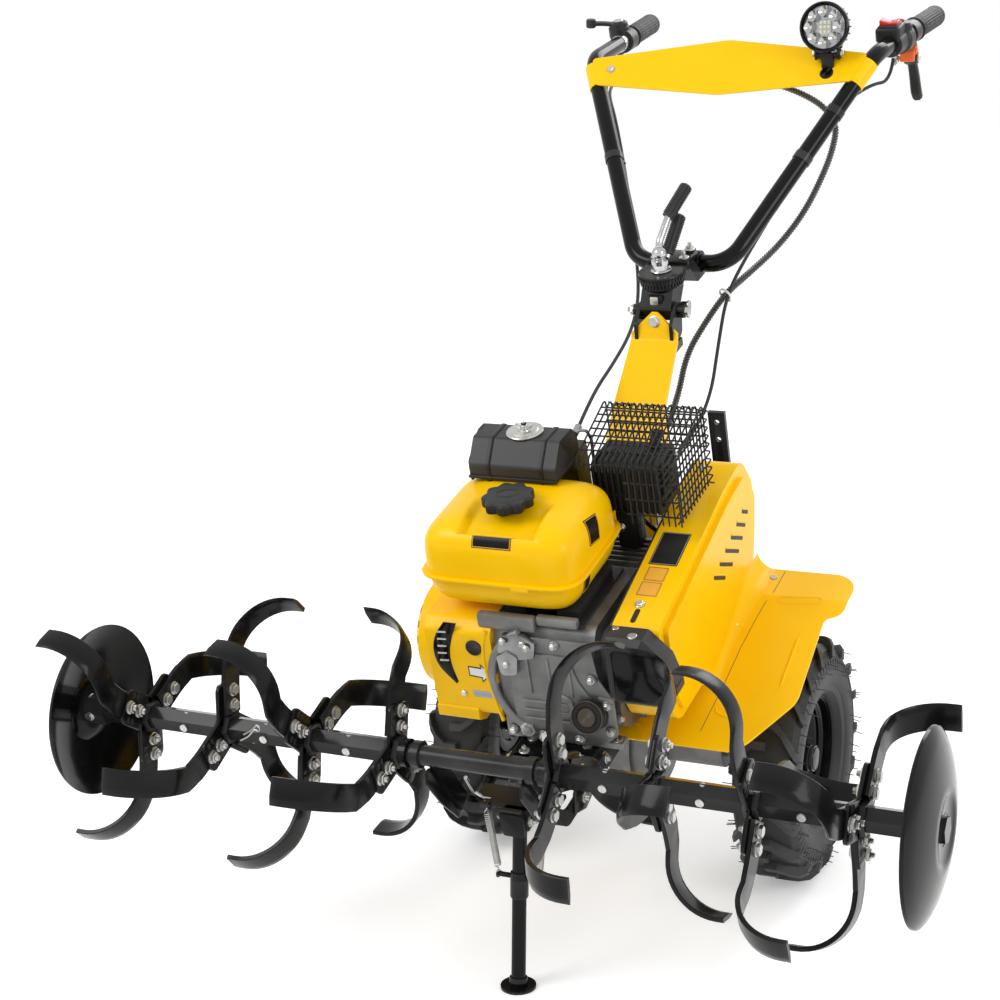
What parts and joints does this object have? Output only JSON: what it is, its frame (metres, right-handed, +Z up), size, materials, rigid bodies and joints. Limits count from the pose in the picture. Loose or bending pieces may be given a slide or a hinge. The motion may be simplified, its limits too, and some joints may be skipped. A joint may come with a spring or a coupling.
{
  "type": "rotary tiller",
  "caption": "Two-wheeled walk-behind rotary tiller with a front rotor of curved blades, one-cylinder engine, folding front stand and tilting handlebar.",
  "frame": {"origin": "on the floor, midway between the wheels, below the middle of the machine's length", "axes": "+X to the machine's left, +Y to its rear (the handlebar), +Z up; it stands nose-down on its wheels and front stand"},
  "size_m": [1.334, 1.6787, 1.4039],
  "materials": {
    "yellow": "glossy yellow powder coat",
    "black": "gloss black enamel",
    "cast": "bare cast aluminium",
    "steel": "turned steel",
    "zinc": "bright zinc plating",
    "silencer": "matt heat-proof black",
    "tyre": "matt black rubber",
    "grip": "ribbed black rubber",
    "plastic": "moulded black plastic"
  },
  "bodies": {
    "chassis": {"gearbox": "cast", "wheel_axle": "steel", "engine_frame": "black", "hitch_bracket": "black", "drag_stake": "black", "engine_block": "cast", "cylinder": "cast", "fan_shroud": "yellow", "recoil_cover": "yellow", "fuel_tank": "yellow", "fuel_cap": "plastic", "air_cleaner": "plastic", "muffler": "silencer", "muffler_guard": "black", "belt_cover": "yellow", "belt_back_plate": "plastic", "belt_end_box": "plastic", "left_fender": "yellow", "right_fender": "yellow", "column": "yellow", "column_clevis": "black", "tank_bracket": "black", "front_carrier": "black", "conduit": "plastic", "clutch_cable": "plastic", "throttle_cable": "plastic"},
    "handlebar": {"handlebar_clamp": "black", "handlebar_tube": "black", "handlebar_grips": "grip", "cross_panel": "yellow", "work_lamp": "plastic", "switch_box": "plastic", "light_switch": "plastic", "clutch_lever": "plastic", "throttle_lever": "plastic", "lock_lever": "black", "cable_clips": "plastic"},
    "handlebar_head": {"head_bracket": "black"},
    "tine_rotor": {"rotor_shaft": "black", "end_discs": "black", "tine_set_right_1": "black", "tine_set_right_2": "black", "tine_set_right_3": "black", "tine_set_right_4": "black", "tine_set_left_1": "black", "tine_set_left_2": "black", "tine_set_left_3": "black", "tine_set_left_4": "black"},
    "left_wheel": {"left_tyre": "tyre", "left_rim": "black"},
    "right_wheel": {"right_tyre": "tyre", "right_rim": "black"},
    "front_stand": {"stand_leg": "black", "stand_springs": "zinc"}
  },
  "joints": [
    {"name": "left_wheel_spin", "type": "hinge", "parent": "chassis", "child": "left_wheel", "pos_m": [0.267, 0, 0.203], "axis": [1, 0, 0], "continuous": true},
    {"name": "right_wheel_spin", "type": "hinge", "parent": "chassis", "child": "right_wheel", "pos_m": [-0.267, 0, 0.203], "axis": [1, 0, 0], "continuous": true},
    {"name": "tine_rotor_spin", "type": "hinge", "parent": "chassis", "child": "tine_rotor", "pos_m": [0, -0.63865, 0.40316], "axis": [1, 0, 0], "continuous": true},
    {"name": "stand_fold", "type": "hinge", "parent": "chassis", "child": "front_stand", "pos_m": [0, -0.50117, 0.26731], "axis": [1, 0, 0], "range_deg": [0, 85], "deforming": ["stand_springs"]},
    {"name": "handlebar_tilt", "type": "hinge", "parent": "chassis", "child": "handlebar_head", "pos_m": [0, 0.11412, 0.91852], "axis": [1, 0, 0], "range_deg": [-15, 20], "deforming": ["conduit", "clutch_cable", "throttle_cable"]},
    {"name": "handlebar_swivel", "type": "hinge", "parent": "handlebar_head", "child": "handlebar", "pos_m": [0, 0.12918, 0.97201], "axis": [0, -0.2509, 0.968], "range_deg": [-25, 25]}
  ]
}
